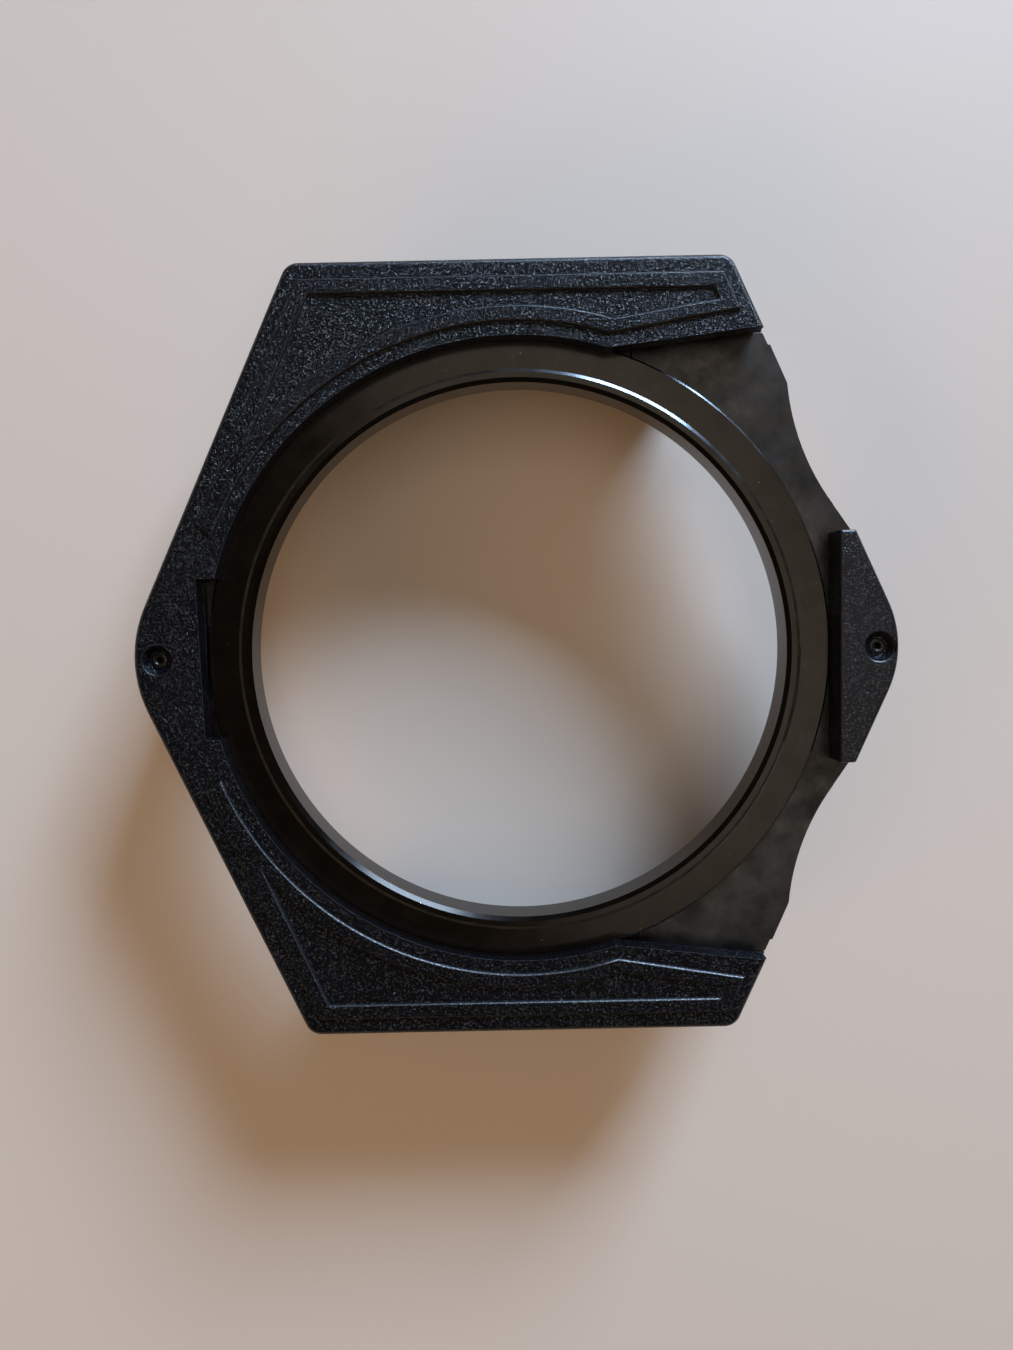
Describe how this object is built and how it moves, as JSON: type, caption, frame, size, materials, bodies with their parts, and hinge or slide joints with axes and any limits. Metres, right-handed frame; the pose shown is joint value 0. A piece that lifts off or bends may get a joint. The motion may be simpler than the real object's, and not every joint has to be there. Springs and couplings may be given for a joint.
{
  "type": "square filter holder",
  "caption": "Hexagonal moulded holder for square lens filters, with grooved rails, a sprung latch and a slide-in threaded adapter ring.",
  "frame": {"origin": "point where the optical axis meets the front of the filter rails, on which the holder rests; it is the middle of the footprint to within half a millimetre", "axes": "+Z along the optical axis towards the lens; +X towards the latch and the side where the adapter ring slides out; +Y across the filter grooves, towards the rail with the leaf springs"},
  "size_m": [0.105, 0.1056, 0.0231],
  "materials": {
    "smooth_plastic": "smooth moulded black plastic, semi-gloss",
    "grained_plastic": "black plastic with a coarse spark-eroded grain",
    "black_anodised_aluminium": "satin black anodised, with a worn bright edge",
    "spring_steel": "plain rolled spring steel",
    "blackened_steel": "black oxide"
  },
  "bodies": {
    "holder": {"base_plate": "smooth_plastic", "rear_frame": "grained_plastic", "upper_rail": "smooth_plastic", "lower_rail": "smooth_plastic", "frame_rivet": "blackened_steel", "upper_rail_screws": "blackened_steel", "lower_rail_screws": "blackened_steel"},
    "ring": {"adapter_ring": "black_anodised_aluminium"},
    "latch": {"release_wing": "smooth_plastic", "latch_block": "grained_plastic", "latch_rivet": "blackened_steel"},
    "ring_brake": {"ring_brake_spring": "blackened_steel"},
    "filter_leaf_1": {"filter_spring_1": "spring_steel"},
    "filter_leaf_2": {"filter_spring_2": "spring_steel"},
    "filter_leaf_3": {"filter_spring_3": "spring_steel"}
  },
  "joints": [
    {"name": "ring_turn", "type": "hinge", "parent": "holder", "child": "ring", "pos_m": [0, 0, 0.0186], "axis": [0, 0, 1], "continuous": true},
    {"name": "latch_press", "type": "hinge", "parent": "holder", "child": "latch", "pos_m": [0.0162, 0, 0.0154], "axis": [0, 1, 0], "range_deg": [0, 10.4], "stiffness_Nm_per_rad": 1.2, "springref_deg": -2.86},
    {"name": "brake_flex", "type": "slide", "parent": "holder", "child": "ring_brake", "axis": [-1, 0, 0], "range_m": [0, 0.00018], "stiffness_N_per_m": 2000, "springref_m": -0.0002},
    {"name": "filter_flex_1", "type": "slide", "parent": "holder", "child": "filter_leaf_1", "axis": [0, 1, 0], "range_m": [0, 0.0003], "stiffness_N_per_m": 800, "springref_m": -0.0002},
    {"name": "filter_flex_2", "type": "slide", "parent": "holder", "child": "filter_leaf_2", "axis": [0, 1, 0], "range_m": [0, 0.0003], "stiffness_N_per_m": 800, "springref_m": -0.0002},
    {"name": "filter_flex_3", "type": "slide", "parent": "holder", "child": "filter_leaf_3", "axis": [0, 1, 0], "range_m": [0, 0.0003], "stiffness_N_per_m": 800, "springref_m": -0.0002}
  ]
}
